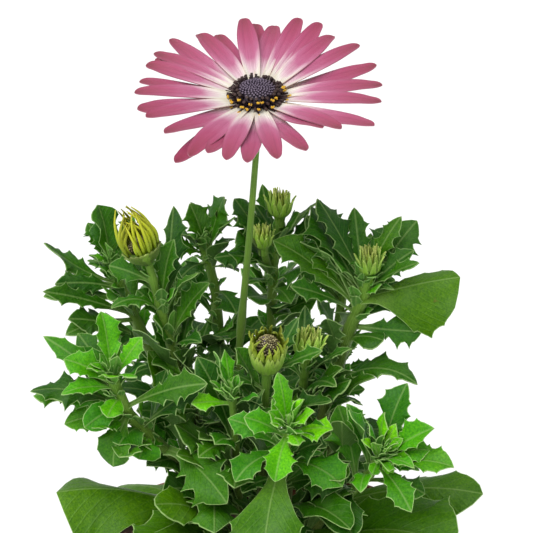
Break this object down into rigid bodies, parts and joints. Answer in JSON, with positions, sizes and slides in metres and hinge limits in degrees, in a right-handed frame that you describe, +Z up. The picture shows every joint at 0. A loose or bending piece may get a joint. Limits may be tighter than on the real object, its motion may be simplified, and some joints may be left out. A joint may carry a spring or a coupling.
{
  "type": "potted osteospermum",
  "caption": "Bushy osteospermum in a plain round pot: toothed green leaves, a tall open daisy with a dark disc, and smaller buds.",
  "frame": {"origin": "middle of the pot's flat underside", "axes": "+Z up along the pot, -Y towards the side that the open flower leans to"},
  "size_m": [0.1381, 0.1322, 0.2517],
  "materials": {
    "pot": "terracotta-brown moulded plastic",
    "compost": "dark crumbly potting compost",
    "foliage": "dark green, finely hairy leaves and stems",
    "young_foliage": "bright green young leaves",
    "ray_florets": "dusty magenta ray florets, white at the base",
    "disc_florets": "dark violet disc florets",
    "bud_rays": "yellow-green folded rays"
  },
  "bodies": {
    "root": {"pot": "pot", "compost": "compost", "shoot_west": "foliage", "shoot_west_bud": "foliage", "shoot_north_west": "foliage", "shoot_north": "foliage", "flower_stalk": "foliage", "shoot_east": "foliage", "shoot_centre_bud": "foliage", "shoot_east_bud": "foliage", "shoot_south_west": "young_foliage", "shoot_south_centre": "young_foliage", "shoot_south": "young_foliage", "shoot_south_east": "young_foliage", "shoot_north_east": "foliage", "shoot_east_low": "foliage", "shoot_north_far": "foliage", "shoot_west_far": "foliage", "bloom_rays": "ray_florets", "bloom_disc": "disc_florets", "shoot_west_bud_rays": "bud_rays", "shoot_west_bud_disc": "disc_florets", "shoot_centre_bud_rays": "bud_rays", "shoot_centre_bud_disc": "disc_florets"}
  },
  "joints": []
}
